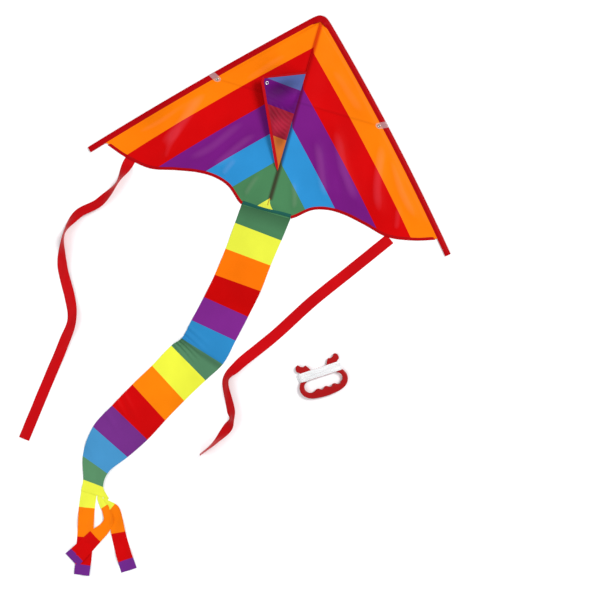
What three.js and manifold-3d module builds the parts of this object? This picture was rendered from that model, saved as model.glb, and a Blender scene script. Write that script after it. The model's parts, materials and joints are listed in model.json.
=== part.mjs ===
// A child's delta kite, laid out keel side up on a flat surface beside its hand reel.
// Millimetres, +Z up. +Y runs along the spine towards the nose and +X towards the right wing tip.
// Every piece is laid out from the nose; the whole group is centred at the end.
import * as THREE from "three";
import { mergeVertices } from "three/addons/utils/BufferGeometryUtils.js";
import Module from "manifold-3d";

const wasm = await Module();
wasm.setup();

// ---- driving dimensions -------------------------------------------------------------------------
const CLEAR = 0.4; // gap left between neighbouring pieces
const ROD_RADIUS = 1.5;
const BORE_RADIUS = 1.9;
const CLOTH = 0.6; // thickness that stands for every cloth layer
const TRIM = 1.4; // thickness of a folded binding

const WING_TIP = { left: [-499, -514], right: [499, -518] };
const EDGE_BOW = { left: 6, right: 10 }; // how far the spreader bows each leading edge outwards
const EDGE_APEX = 3; // where the two edge centre-lines would meet, ahead of the nose
const EDGE_WIDTH = 15;
const EDGE_DEPTH = 4;
const EDGE_HEIGHT = 3.2;
const EDGE_START = 0.047; // share of the edge that the nose patch covers
const NOSE_INNER = -20; // inner corner of the nose patch
const NOSE_TOP = 2.5;
const NOSE_ROUND = [14, 10]; // distances from the middle that shape the patch's rounded outer corner
const ROD_END = 0.985; // share of the edge where its rod stops, short of the closed tip

const TAIL_CORNER = [69.5, -541]; // where trailing edge, flex line and tail seam meet
const TRAILING = [[80, -534], [118, -503], [160, -491], [205, -491.5], [262, -502], [330, -516.5], [400, -506]];
const SAIL_CORNER = [461, -486];
const HEM_WIDTH = 8;
const SAIL_START = 0.04; // share of the sail, from the nose, that the nose patch covers
const SAIL_CORNER_GAP = 0.011; // share of the trailing edge left free at the wing's corner
const NOSE_DRAW = 9.5; // how far the cloth's border draws back from the sleeve towards the nose

const SAIL_LOW = 1.1; // cloth height where it lies on the floor
const SAIL_MID = 5.6; // over the spreader
const SAIL_RIDGE = 10; // over the spine
const CLOTH_HEIGHT = 0.7; // middle of a single layer that lies on the floor
const DROOP = 60; // how far in from the trailing edge the cloth reaches the floor
const RIDGE_TOP = 4;
const RIDGE_FOOT = 70;

const SPINE_HEIGHT = 7;
const SPINE_FROM = -26;
const SPINE_TO = -505;
const SPINE_SLEEVE_RADIUS = 2.5;

const SPREADER_Y = -238;
const SPREADER_HEIGHT = 2.6;
const SPREADER_STOP = 25; // from an edge's centre-line to the spreader's end in its socket

// Clear strap round the leading edge: width along the edge, thickness of its two layers and of its fold,
// reach of the fold outwards and of the upper layer inwards, and where the socket's layer is welded on.
const STRAP = {
  width: 17, layer: 0.7, fold: 0.8, out: 11.9, reach: 26.4, weld: 11.3, lap: 0.4, low: 0.1, high: 6.9,
};
const SOCKET_RADIUS = 2.5;
const SOCKET_END = 45; // from an edge's centre-line to the inner end of the spreader's socket
const RIVET_IN = 18; // from an edge's centre-line to the rivet
const RIVET = { barrel: 2.4, bore: 1.5, flange: 4.2, low: 0.05, high: 7.7, rim: 0.45 };
const HOLE_GAP = 0.5; // round a barrel, in the cloth or vinyl that it goes through

const SEAM_RISE = 2.1; // middle of the tail's seam over the middle of the sail

const KEEL_TILT = 14; // degrees that the folded keel stands off the sail
const KEEL_HEIGHT = 11.8; // height of its sewn root
const KEEL_ROOT = [-154, -432];
const KEEL_POINT = [112, -202]; // distance from the spine, place along it
const KEEL_HEEL = [110, -217];
const KEEL_EYELET = [94, -214];
const KEEL_BINDING = 8;
const KEEL_UPPER = 6; // width of the folded upper edge
const EYELET = { barrel: 2.9, bore: 2.1, flange: 5, low: -1.1, high: 1.1, rim: 0.6 };

const REEL_PLACE = [263.5, -921, 6.2];
const REEL_TURN = 34.5; // degrees
const GRIP_DEPTH = 12;
const PLATE_DEPTH = 5;
const WINDING = { half: 62, from: 0.4, to: 21, wall: 2.9, end: 8.5 };
const LINE_RADIUS = 0.4;

const COLOURS = {
  cloth: 0xf97602,
  red: 0xc4000a,
  binding: 0xb4000a,
  seam: 0x1e4c45,
  rod: 0xe8e6df,
  vinyl: 0xd8dde0,
  metal: 0xb9b9b4,
  plastic: 0xb00d0d,
  line: 0xf2f0ea,
};

// ---- small helpers ------------------------------------------------------------------------------
const kite = new THREE.Group();

function add(name, geometry, colour, roughness = 0.7, metalness = 0, parent = kite) {
  const material = new THREE.MeshStandardMaterial({ color: colour, roughness, metalness });
  const mesh = new THREE.Mesh(geometry, material);
  mesh.name = name;
  parent.add(mesh);
  return mesh;
}

function toSolid(geometry) {
  const bare = geometry.index ? geometry.toNonIndexed() : geometry.clone();
  bare.deleteAttribute("normal");
  bare.deleteAttribute("uv");
  const merged = mergeVertices(bare, 1e-4);
  return new wasm.Manifold(
    new wasm.Mesh({
      numProp: 3,
      vertProperties: merged.attributes.position.array,
      triVerts: new Uint32Array(merged.index.array),
    }),
  );
}

function toGeometry(solid) {
  const mesh = solid.getMesh();
  const geometry = new THREE.BufferGeometry();
  geometry.setAttribute("position", new THREE.BufferAttribute(mesh.vertProperties, 3));
  geometry.setIndex(new THREE.BufferAttribute(mesh.triVerts, 1));
  return geometry;
}

function subtract(geometry, ...tools) {
  return toGeometry(tools.reduce((solid, tool) => solid.subtract(toSolid(tool)), toSolid(geometry)));
}

function unite(geometry, ...others) {
  return toGeometry(others.reduce((solid, other) => solid.add(toSolid(other)), toSolid(geometry)));
}

// The geometry with its faces pointing out, which laying its points out mirrored turns inwards.
function facingOut(geometry) {
  const out = geometry.index ? geometry.toNonIndexed() : geometry;
  const place = out.attributes.position;
  const corners = [new THREE.Vector3(), new THREE.Vector3(), new THREE.Vector3()];
  let volume = 0;
  for (let i = 0; i < place.count; i += 3) {
    corners.forEach((corner, k) => corner.fromBufferAttribute(place, i + k));
    volume += corners[0].dot(corners[1].clone().cross(corners[2])) / 6;
  }
  if (volume > 0) return out;
  for (let i = 0; i < place.count; i += 3) {
    corners.forEach((corner, k) => corner.fromBufferAttribute(place, i + k));
    place.setXYZ(i + 1, ...corners[2]);
    place.setXYZ(i + 2, ...corners[1]);
  }
  return out;
}

// A closed sheet: surface(u, v) gives a point and the direction of its thickness, u and v from 0 to 1.
function sheet(across, along, thickness, surface) {
  const geometry = new THREE.BoxGeometry(1, 1, 1, across, along, 1);
  const place = geometry.attributes.position;
  const rest = new THREE.Vector3();
  for (let i = 0; i < place.count; i++) {
    rest.fromBufferAttribute(place, i);
    const { point, up } = surface(rest.x + 0.5, rest.y + 0.5);
    point.addScaledVector(up, rest.z * thickness);
    place.setXYZ(i, ...point);
  }
  return facingOut(geometry);
}

// A round rod along a curve, eight-sided unless halfSides says otherwise.
function rodAlong(curve, radius, steps, halfSides = 4) {
  const section = new THREE.Shape().absarc(0, 0, radius, 0, 2 * Math.PI);
  return new THREE.ExtrudeGeometry(section, { extrudePath: curve, steps, curveSegments: halfSides });
}

function upright(radius, from, to, sides = 20) {
  return new THREE.CylinderGeometry(radius, radius, to - from, sides)
    .rotateX(Math.PI / 2)
    .translate(0, 0, (from + to) / 2);
}

const UP = new THREE.Vector3(0, 0, 1);
const flat = (x, y, z) => ({ point: new THREE.Vector3(x, y, z), up: UP });
const smooth = (t) => THREE.MathUtils.smoothstep(t, 0, 1);
const mix = THREE.MathUtils.lerp;

function curveThrough(points, height = 0) {
  return new THREE.CatmullRomCurve3(
    points.map(([x, y, z]) => new THREE.Vector3(x, y, z ?? height)),
    false,
    "centripetal",
  );
}

// A point beside a level curve: the signed distance is to the left of its direction.
function beside(curve, t, distance) {
  const point = curve.getPoint(t);
  const way = curve.getTangent(t);
  return point.add(new THREE.Vector3(-way.y, way.x, 0).normalize().multiplyScalar(distance));
}

// ---- the outline that the sail, edges and hems share --------------------------------------------
const SIDES = { left: -1, right: 1 };

function leadingEdge(side, height = EDGE_HEIGHT) {
  const start = new THREE.Vector3(0, EDGE_APEX, height);
  const end = new THREE.Vector3(...WING_TIP[side], height);
  const way = end.clone().sub(start).normalize();
  const outward = new THREE.Vector3(-SIDES[side] * way.y, SIDES[side] * way.x, 0);
  const middle = start.clone().add(end).multiplyScalar(0.5).addScaledVector(outward, 2 * EDGE_BOW[side]);
  return new THREE.QuadraticBezierCurve3(start, middle, end);
}

const trailingEdge = (side) =>
  curveThrough([TAIL_CORNER, ...TRAILING, SAIL_CORNER].map(([x, y]) => [SIDES[side] * x, y]));

// Height of the cloth: up over the spine, level over the spreader, down at the trailing edge.
function sailHeight(x, y, toTrailing) {
  const wing = mix(SAIL_LOW, SAIL_MID, smooth(toTrailing / DROOP));
  const across = 1 - smooth((Math.abs(x) - RIDGE_TOP) / (RIDGE_FOOT - RIDGE_TOP));
  const past = 1 - smooth((SPINE_TO - 8 - y) / (SPINE_TO - 8 - TAIL_CORNER[1]));
  return mix(wing, SAIL_RIDGE, across * past);
}

// ---- spine, spreader, nose ----------------------------------------------------------------------
function alongSpine(from, to) {
  return new THREE.LineCurve3(
    new THREE.Vector3(0, from, SPINE_HEIGHT),
    new THREE.Vector3(0, to, SPINE_HEIGHT),
  );
}

function makeSpine() {
  add("spine_rod", rodAlong(alongSpine(SPINE_FROM, SPINE_TO), ROD_RADIUS, 1), COLOURS.rod, 0.4);
  const sleeve = rodAlong(alongSpine(SPINE_FROM + 1, SPINE_TO - 2), SPINE_SLEEVE_RADIUS, 1);
  const bore = rodAlong(alongSpine(SPINE_FROM + 3, SPINE_TO - 1), BORE_RADIUS, 1);
  add("spine_sleeve", subtract(sleeve, bore), COLOURS.binding);
}

function alongSpreader(from, to) {
  return new THREE.LineCurve3(
    new THREE.Vector3(from, SPREADER_Y, SPREADER_HEIGHT),
    new THREE.Vector3(to, SPREADER_Y, SPREADER_HEIGHT),
  );
}

function makeSpreader() {
  const way = alongSpreader(edgeInset("left", SPREADER_STOP), edgeInset("right", SPREADER_STOP));
  add("spreader_rod", rodAlong(way, ROD_RADIUS, 8), COLOURS.rod, 0.4);
}

function makeNosePatch() {
  const outer = EDGE_WIDTH / 2;
  const left = leadingEdge("left");
  const right = leadingEdge("right");
  const stop = EDGE_START - 0.001;
  const corners = [
    beside(left, stop, -outer),
    beside(left, stop, outer),
    beside(right, stop, -outer),
    beside(right, stop, outer),
  ];
  const shape = new THREE.Shape();
  shape.moveTo(corners[1].x, corners[1].y);
  shape.lineTo(0, NOSE_INNER);
  shape.lineTo(corners[2].x, corners[2].y);
  shape.lineTo(corners[3].x, corners[3].y);
  const [wide, narrow] = NOSE_ROUND;
  shape.bezierCurveTo(wide, 0, narrow, NOSE_TOP, 0, NOSE_TOP);
  shape.bezierCurveTo(-narrow, NOSE_TOP, -wide, 0, corners[0].x, corners[0].y);
  const patch = new THREE.ExtrudeGeometry(shape, { depth: EDGE_DEPTH, bevelEnabled: false, curveSegments: 8 });
  patch.translate(0, 0, EDGE_HEIGHT - EDGE_DEPTH / 2);
  add("nose_patch", patch, COLOURS.binding);
}

// ---- sail ---------------------------------------------------------------------------------------
const flexX = (y, inset) => (TAIL_CORNER[0] * y) / TAIL_CORNER[1] + inset;

// The gore between the two flex lines, which the spine holds still.
function makeSailCenter() {
  const top = TAIL_CORNER[1] * SAIL_START;
  const bottom = TAIL_CORNER[1] + 0.6;
  const gore = sheet(12, 16, CLOTH, (u, v) => {
    const y = mix(top, bottom, v);
    const x = mix(-1, 1, u) * (flexX(y, -CLEAR) - 0.2);
    return flat(x, y, sailHeight(x, y, y - TAIL_CORNER[1]));
  });
  add("sail_center", gore, COLOURS.cloth);
}

// How far along the trailing edge a border beside it first comes clear of the flex line.
function clearOfFlexLine(trail, inset) {
  let t = 0;
  while (Math.abs(beside(trail, t, inset).x) < flexX(beside(trail, t, inset).y, CLEAR)) t += 0.001;
  return t;
}

// A wing panel is a fan of rays from the nose, from the flex line out to the leading edge.
function makeWingPanel(side) {
  const sign = SIDES[side];
  const trail = trailingEdge(side);
  const inset = HEM_WIDTH + 3 * CLEAR;
  const first = clearOfFlexLine(trail, sign * inset);
  const panel = sheet(18, 12, CLOTH, (u, v) => {
    const edge = beside(trail, mix(first, 1 - SAIL_CORNER_GAP, u), sign * inset);
    const reach = mix(SAIL_START, 1, v);
    // The edges run at about 45 degrees, so a push square to one is shared evenly by x and y.
    const bowed = 4 * EDGE_BOW[side] * reach * (1 - reach) * u * Math.SQRT1_2;
    const x = edge.x * reach + sign * bowed;
    const y = edge.y * reach + bowed - (1 - reach) * u * NOSE_DRAW;
    return flat(x, y, sailHeight(x, y, (1 - reach) * -TAIL_CORNER[1]));
  });
  return subtract(panel, rivetHole(side));
}

function rivetHole(side) {
  return upright(RIVET.barrel + HOLE_GAP, -1, 12).translate(edgeInset(side, RIVET_IN), SPREADER_Y, 0);
}

function makeHem(side) {
  const sign = SIDES[side];
  const trail = trailingEdge(side);
  const first = clearOfFlexLine(trail, sign * HEM_WIDTH);
  return sheet(1, 32, TRIM, (u, v) => {
    const edge = beside(trail, mix(first, 0.985, v), sign * HEM_WIDTH * u);
    return flat(edge.x, edge.y, SAIL_LOW);
  });
}

// ---- leading edges and their connectors ---------------------------------------------------------
function makeEdgeSleeve(side) {
  const edge = leadingEdge(side);
  const bar = sheet(1, 24, EDGE_DEPTH, (u, v) => {
    const point = beside(edge, mix(EDGE_START, 1, v), mix(-0.5, 0.5, u) * EDGE_WIDTH);
    return flat(point.x, point.y, EDGE_HEIGHT);
  });
  return subtract(bar, rodAlong(partOf(edge, EDGE_START - 0.02, ROD_END + 0.004), BORE_RADIUS, 16));
}

function partOf(curve, from, to) {
  const points = [0, 0.25, 0.5, 0.75, 1].map((t) => curve.getPoint(mix(from, to, t)));
  return new THREE.CatmullRomCurve3(points);
}

// The leading edge's centre-line at the height of the spreader, and how far it leans there.
function edgeAtSpreader(side) {
  const edge = leadingEdge(side);
  let low = 0;
  let high = 1;
  for (let i = 0; i < 30; i++) {
    const t = (low + high) / 2;
    if (edge.getPoint(t).y > SPREADER_Y) low = t;
    else high = t;
  }
  const way = edge.getTangent(low);
  return { x: edge.getPoint(low).x, lean: way.x / way.y };
}

// A place on the spreader, so far in from a leading edge's centre-line.
function edgeInset(side, inwards) {
  return edgeAtSpreader(side).x - SIDES[side] * inwards;
}

// A clear vinyl strap folded round the sleeve, riveted through the sail, with a socket for the spreader below.
function makeConnector(side) {
  const sign = SIDES[side];
  const { x, lean } = edgeAtSpreader(side);
  const { width, layer, fold, out, reach, weld, lap, low, high } = STRAP;
  const profile = [
    [-out, low], [weld + lap, low], [weld + lap, low + layer], [SOCKET_END, low + layer],
    [SOCKET_END, low + 2 * layer], [weld - lap, low + 2 * layer], [weld - lap, low + layer],
    [fold - out, low + layer], [fold - out, high - layer], [reach, high - layer], [reach, high], [-out, high],
  ];
  const section = new THREE.Shape(profile.map(([inwards, z]) => new THREE.Vector2(-inwards, z)));
  const strap = new THREE.ExtrudeGeometry(section, { depth: width, bevelEnabled: false });
  strap.rotateX(Math.PI / 2).translate(0, width / 2, 0);
  const place = strap.attributes.position;
  for (let i = 0; i < place.count; i++) {
    const y = place.getY(i);
    place.setX(i, x + sign * place.getX(i) + lean * y);
    place.setY(i, SPREADER_Y + y);
  }
  const socket = (radius, from, to) =>
    rodAlong(alongSpreader(edgeInset(side, from), edgeInset(side, to)), radius, 1, 6);
  const body = unite(facingOut(strap), socket(SOCKET_RADIUS, SPREADER_STOP - 1.4, SOCKET_END));
  return subtract(body, socket(BORE_RADIUS, SPREADER_STOP - CLEAR, SOCKET_END + width), rivetHole(side));
}

// A hollow rivet: two rolled flanges on a thin barrel.
function hollowRivet({ barrel, bore, flange, low, high, rim }) {
  const outline = [
    [bore, low], [flange, low], [flange, low + rim], [barrel, low + rim],
    [barrel, high - rim], [flange, high - rim], [flange, high], [bore, high], [bore, low],
  ];
  return new THREE.LatheGeometry(outline.map(([r, z]) => new THREE.Vector2(r, z)), 20).rotateX(Math.PI / 2);
}

function makeWing(side) {
  const prefix = side + "_";
  add("sail_" + side, makeWingPanel(side), COLOURS.cloth);
  add(prefix + "edge_sleeve", makeEdgeSleeve(side), COLOURS.binding);
  const rod = partOf(leadingEdge(side), EDGE_START + 0.004, ROD_END);
  add(prefix + "edge_rod", rodAlong(rod, ROD_RADIUS, 16), COLOURS.rod, 0.4);
  add(prefix + "connector", makeConnector(side), COLOURS.vinyl, 0.2);
  const ring = hollowRivet(RIVET).translate(edgeInset(side, RIVET_IN), SPREADER_Y, 0);
  add(prefix + "connector_rivet", ring, COLOURS.metal, 0.35, 1);
  add(prefix + "hem", makeHem(side), COLOURS.red);
}

// ---- keel: laid out flat at the spine's left, then tilted up about its root ----------------------
function makeKeel() {
  const keel = new THREE.Group();
  keel.position.z = KEEL_HEIGHT;
  keel.rotation.y = THREE.MathUtils.degToRad(KEEL_TILT);
  kite.add(keel);
  const [rootTop, rootEnd] = KEEL_ROOT;
  const plate = (corners, depth) => {
    const shape = new THREE.Shape(corners.map(([out, y]) => new THREE.Vector2(-out, y)));
    return new THREE.ExtrudeGeometry(shape, { depth, bevelEnabled: false }).translate(0, 0, -depth / 2);
  };
  const eyelet = [-KEEL_EYELET[0], KEEL_EYELET[1], 0];
  const upper = KEEL_UPPER;
  const bound = KEEL_BINDING;
  const panel = plate(
    [[1, rootTop - upper], [KEEL_POINT[0] - bound, KEEL_POINT[1] - upper], [KEEL_HEEL[0] - bound, KEEL_HEEL[1]],
      [1, rootEnd + 12]],
    CLOTH,
  );
  const hole = upright(EYELET.barrel + HOLE_GAP, -3, 3).translate(...eyelet);
  add("keel", subtract(panel, hole), COLOURS.cloth, 0.7, 0, keel);
  const top = plate(
    [[1, rootTop], [KEEL_POINT[0], KEEL_POINT[1]], [KEEL_POINT[0], KEEL_POINT[1] - upper + CLEAR],
      [1, rootTop - upper + CLEAR]],
    TRIM,
  );
  add("keel_top_hem", top, COLOURS.binding, 0.7, 0, keel);
  const outer = plate(
    [[KEEL_POINT[0], KEEL_POINT[1] - upper], [KEEL_HEEL[0], KEEL_HEEL[1]], [1.2, rootEnd],
      [1.2, rootEnd + 11.6], [KEEL_HEEL[0] - bound + CLEAR, KEEL_HEEL[1]],
      [KEEL_POINT[0] - bound + CLEAR, KEEL_POINT[1] - upper]],
    TRIM,
  );
  add("keel_binding", outer, COLOURS.red, 0.7, 0, keel);
  add("keel_eyelet", hollowRivet(EYELET).translate(...eyelet), COLOURS.metal, 0.35, 1, keel);
}

// ---- tail: one long cloth sewn under the sail, slit into three streamers at its end ---------------
// Each station is the tail's left and right border.
const TAIL = [
  [-68, -543, 68, -543], [-71, -592, 61, -603], [-76, -664, 52, -674], [-84, -738, 46, -746],
  [-95, -802, 33, -820], [-110, -874, 18, -894], [-122, -928, 3, -963], [-142, -953, -28, -1016],
  [-176, -1017, -67, -1083], [-214, -1083, -103, -1151], [-250, -1151, -134, -1213],
  [-283, -1218, -171, -1271], [-289, -1300, -211, -1328], [-270, -1364, -213, -1368],
  [-267, -1394, -190, -1394],
];
// The streamers: x, y and height of the centre-line, and width; the gathered cloth opens out from the slits.
const STREAMERS = {
  left: [[-245, -1398, 0.7, 42], [-239, -1438, 0.7, 43], [-230, -1476, 0.7, 43], [-221, -1516, 0.7, 43],
    [-211, -1562, 0.7, 42], [-203, -1610, 0.7, 41]],
  middle: [[-214, -1398, 0.7, 14], [-211, -1403, 1.2, 15], [-202, -1413, 1.9, 18], [-186, -1428, 1.9, 24],
    [-175, -1449, 1.9, 25], [-179, -1472, 1.9, 31], [-197, -1502, 1.9, 40], [-218, -1541, 1.9, 44],
    [-240, -1579, 1.9, 48]],
  right: [[-198, -1398, 0.7, 12], [-195, -1404, 0.7, 13], [-184, -1409, 0.7, 18], [-168, -1417, 0.7, 26],
    [-154, -1446, 0.7, 36], [-137, -1481, 0.7, 39], [-112, -1523, 0.7, 41], [-85, -1563, 0.7, 43]],
};

function makeTail() {
  const borders = [0, 2].map((k) => curveThrough(TAIL.map((row) => [row[k], row[k + 1]])));
  const cloth = sheet(4, 44, CLOTH, (u, v) => {
    const point = borders[0].getPoint(v).lerp(borders[1].getPoint(v), u);
    return flat(point.x, point.y, CLOTH_HEIGHT);
  });
  add("tail", cloth, COLOURS.cloth);
  const seam = sheet(24, 3, TRIM, (u, v) => {
    const x = mix(-61, 61, u);
    const y = TAIL_CORNER[1] + mix(1.5, 10, v);
    return flat(x, y, sailHeight(x, y, y - TAIL_CORNER[1]) + SEAM_RISE);
  });
  add("tail_seam", seam, COLOURS.seam);
  for (const [side, points] of Object.entries(STREAMERS)) {
    const middle = curveThrough(points);
    const widths = curveThrough(points.map(([, , , width], i) => [i, width]));
    const strip = sheet(1, 24, CLOTH, (u, v) => {
      const point = beside(middle, v, mix(-0.5, 0.5, u) * widths.getPoint(v).y);
      return flat(point.x, point.y, point.z);
    });
    add("tail_streamer_" + side, strip, COLOURS.cloth);
  }
}

// ---- ribbons: x, y and roll in degrees; a rolled stretch stands on its edge -----------------------
const RIBBON_WIDTH = { left: 29, right: 30 };
const RIBBONS = {
  left: [[-389, -519, 0], [-402, -577, 70], [-433, -640, 30], [-480, -688, 30], [-500, -747, 72],
    [-481, -832, 20], [-440, -905, 10], [-417, -960, 30], [-420, -1020, 10], [-436, -1160, 0], [-452, -1304, 0]],
  right: [[329, -532, 0], [262, -628, 0], [185, -738, 0], [115, -852, 0], [42, -958, 22], [22, -1000, 55],
    [58, -1076, 42], [66, -1098, 62], [62, -1124, 34], [44, -1163, 66], [26, -1193, 82], [12, -1213, 84]],
};

function makeRibbon(side) {
  const points = RIBBONS[side];
  const route = curveThrough(points);
  const rolls = curveThrough(points.map(([, , roll], i) => [i, roll]));
  const rollAt = (v) => THREE.MathUtils.degToRad(Math.max(rolls.getPoint(v).y, 0));
  const half = RIBBON_WIDTH[side] / 2;
  const middle = (v) => route.getPoint(v).setZ(CLOTH_HEIGHT + half * Math.sin(rollAt(v)));
  const strip = sheet(4, 72, CLOTH, (u, v) => {
    const way = middle(Math.min(v + 0.002, 1)).sub(middle(Math.max(v - 0.002, 0))).normalize();
    const level = new THREE.Vector3(-way.y, way.x, 0).normalize();
    const across = level.multiplyScalar(Math.cos(rollAt(v))).addScaledVector(UP, Math.sin(rollAt(v)));
    const up = way.clone().cross(across).normalize();
    return { point: middle(v).addScaledVector(across, mix(-half, half, u)), up };
  });
  add("ribbon_" + side, strip, COLOURS.red);
}

// ---- hand reel: a D-shaped handle whose notched plate carries the line ----------------------------
function gripOutline() {
  const shape = new THREE.Shape();
  shape.moveTo(-47, -1);
  shape.lineTo(-59, -1);
  shape.bezierCurveTo(-72, -16, -68, -37, -50, -47);
  shape.bezierCurveTo(-30, -58.5, 30, -58.5, 50, -47);
  shape.bezierCurveTo(68, -37, 72, -16, 59, -1);
  shape.lineTo(47, -1);
  shape.lineTo(42, -4.5);
  shape.bezierCurveTo(56, -9, 56, -26, 44, -30);
  for (const x of [24, 1, -22]) {
    shape.bezierCurveTo(x + 17, -36, x + 13, -36, x + 9, -33.5);
    shape.bezierCurveTo(x + 4, -28.5, x - 2, -28.5, x - 5, -32);
  }
  shape.bezierCurveTo(-34, -36.5, -44, -35, -48, -30);
  shape.bezierCurveTo(-56, -22, -54, -8, -42, -4.5);
  shape.closePath();
  return shape;
}

function plateOutline() {
  const shape = new THREE.Shape();
  shape.moveTo(-44, -2.2);
  shape.lineTo(44, -2.2);
  shape.lineTo(49, -8);
  shape.lineTo(52, -8);
  shape.lineTo(52, 23);
  const horn = [[52, 24], [60, 31], [58, 42], [51, 46], [45, 40], [38, 37], [32, 39], [27, 33], [22, 23]];
  shape.splineThru(horn.map(([x, y]) => new THREE.Vector2(x, y)));
  shape.lineTo(-22, 23);
  shape.splineThru(horn.slice(0, -1).reverse().map(([x, y]) => new THREE.Vector2(-x, y)));
  shape.lineTo(-52, -8);
  shape.lineTo(-49, -8);
  shape.closePath();
  return shape;
}

function makeReel() {
  const reel = new THREE.Group();
  reel.position.set(...REEL_PLACE);
  reel.rotation.z = THREE.MathUtils.degToRad(REEL_TURN);
  kite.add(reel);
  const slab = (shape, depth, curveSegments) =>
    new THREE.ExtrudeGeometry(shape, { depth, bevelEnabled: false, curveSegments }).translate(0, 0, -depth / 2);
  const handle = unite(slab(gripOutline(), GRIP_DEPTH, 5), slab(plateOutline(), PLATE_DEPTH, 16));
  add("reel_handle", handle, COLOURS.plastic, 0.35, 0, reel);

  const { half, from, to, wall, end } = WINDING;
  const depth = PLATE_DEPTH / 2 + CLEAR;
  const loop = (x, z, bulge, low, high) => {
    const path = new THREE.Shape();
    path.moveTo(-x, z);
    path.bezierCurveTo(-x - bulge, z, -x - bulge, -z, -x, -z);
    path.lineTo(x, -z);
    path.bezierCurveTo(x + bulge, -z, x + bulge, z, x, z);
    return new THREE.ExtrudeGeometry(path, { depth: high - low, bevelEnabled: false, curveSegments: 8 })
      .rotateX(-Math.PI / 2)
      .translate(0, low, 0);
  };
  const winding = subtract(
    loop(half - end, depth + wall, 10, from, to),
    loop(52 + CLEAR, depth, 0.6, from - 1, to + 1),
  );
  add("line_winding", winding, COLOURS.line, 0.8, 0, reel);
}

// The free end of the line, from the reel's left notch down to the floor.
const LINE_END = [
  [204, -948, 4.6], [197, -955, 1.8], [187, -965, 0.8], [170, -988, 0.7], [157, -1012, 0.7],
  [146, -1038, 0.7], [133, -1064, 0.7],
];

function makeLineEnd() {
  add("line_end", rodAlong(curveThrough(LINE_END), LINE_RADIUS, 48), COLOURS.line, 0.8);
}

// ---- assembly -----------------------------------------------------------------------------------
makeSpine();
makeSpreader();
makeNosePatch();
makeSailCenter();
for (const side of Object.keys(SIDES)) {
  makeWing(side);
  makeRibbon(side);
}
makeKeel();
makeTail();
makeReel();
makeLineEnd();

// The origin is the middle of the object's footprint, at the floor; the line's own solids don't count.
const CORD = ["line_winding", "line_end"];
kite.updateMatrixWorld(true);
const footprint = new THREE.Box3();
kite.traverse((piece) => {
  if (piece.isMesh && !CORD.includes(piece.name)) footprint.expandByObject(piece, true);
});
const centre = footprint.getCenter(new THREE.Vector3());
kite.position.set(-centre.x, -centre.y, -footprint.min.z);

export default kite;
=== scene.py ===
import json
import math
from math import pi

import bpy
import numpy as np
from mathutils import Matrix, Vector
from mathutils.geometry import tessellate_polygon

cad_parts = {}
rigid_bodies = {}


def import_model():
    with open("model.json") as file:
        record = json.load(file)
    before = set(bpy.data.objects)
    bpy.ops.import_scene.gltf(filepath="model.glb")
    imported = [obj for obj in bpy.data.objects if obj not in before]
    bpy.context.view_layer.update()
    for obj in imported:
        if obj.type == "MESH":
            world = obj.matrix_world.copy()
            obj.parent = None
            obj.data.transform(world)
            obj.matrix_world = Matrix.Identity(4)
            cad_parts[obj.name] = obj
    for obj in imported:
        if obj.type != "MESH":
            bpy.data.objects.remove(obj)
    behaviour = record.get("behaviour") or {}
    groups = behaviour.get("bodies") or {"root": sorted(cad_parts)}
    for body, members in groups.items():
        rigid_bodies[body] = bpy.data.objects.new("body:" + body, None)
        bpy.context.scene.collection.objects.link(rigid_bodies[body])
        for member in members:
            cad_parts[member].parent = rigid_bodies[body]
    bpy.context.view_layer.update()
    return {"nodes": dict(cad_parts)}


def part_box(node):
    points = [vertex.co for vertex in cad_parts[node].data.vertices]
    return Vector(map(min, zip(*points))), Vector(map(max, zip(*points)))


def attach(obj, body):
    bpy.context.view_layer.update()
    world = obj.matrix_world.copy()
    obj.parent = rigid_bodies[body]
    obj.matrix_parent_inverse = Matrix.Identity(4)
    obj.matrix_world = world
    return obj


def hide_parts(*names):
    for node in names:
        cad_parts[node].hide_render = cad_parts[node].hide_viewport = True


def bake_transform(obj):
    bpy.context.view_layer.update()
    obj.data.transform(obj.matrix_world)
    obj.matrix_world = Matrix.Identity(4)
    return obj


for leftover in list(bpy.data.objects):
    bpy.data.objects.remove(leftover)
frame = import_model()

MM = 0.001
UP = np.array([0.0, 0.0, 1.0])
SIDES = {"left": -1, "right": 1}
RNG = np.random.default_rng(7)

# --- sizes
SPINE_FROM, SPINE_TO, SPINE_HEIGHT = -26, -505, 7
SPINE_SLEEVE_RADIUS, ROD_RADIUS = 2.5, 1.5
WING_TIP = {"left": (-499, -514), "right": (499, -518)}
EDGE_BOW = {"left": 6, "right": 10}
EDGE_APEX, EDGE_START, EDGE_HEIGHT, EDGE_WIDTH = 3, 0.047, 3.2, 16
EDGE_BULGE = 1.35  # how far the rod lifts the middle of its sleeve
NOSE_INNER, NOSE_TOP, NOSE_THICKNESS = -14, 2.5, 0.9
TAIL_CORNER = (69.5, -541)
SEAM_Y = -535.5  # middle of the tape over the sail's end
TRAILING = [(80, -534), (118, -503), (160, -491), (205, -491.5), (262, -502), (330, -516.5), (400, -506)]
SAIL_CORNER = (461, -486)
HEM_WIDTH = 8
SAIL_LOW, SAIL_MID, SAIL_RIDGE = 1.1, 5.6, 10
DROOP, RIDGE_TOP, RIDGE_FOOT = 60, 4, 70
SPREADER_Y, SPREADER_HEIGHT, SPREADER_STOP = -238, 2.6, 25
STRAP_WIDTH, STRAP_REACH, SOCKET_END, RIVET_IN = 17, 26.4, 45, 18
STRAP_SLANT, STRAP_TOP, STRAP_FOOT = math.radians(27), 6.55, 0.45
KEEL_TILT, KEEL_HEIGHT = math.radians(14), 11.8
KEEL_ROOT, KEEL_POINT, KEEL_HEEL, KEEL_EYELET = (-154, -432), (112, -202), (110, -217), (94, -214)
CLOTH_HEIGHT, CLOTH_THICKNESS = 0.7, 0.3
REEL_PLACE, REEL_TURN = (263.5, -921, 6.2), math.radians(34.5)
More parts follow.
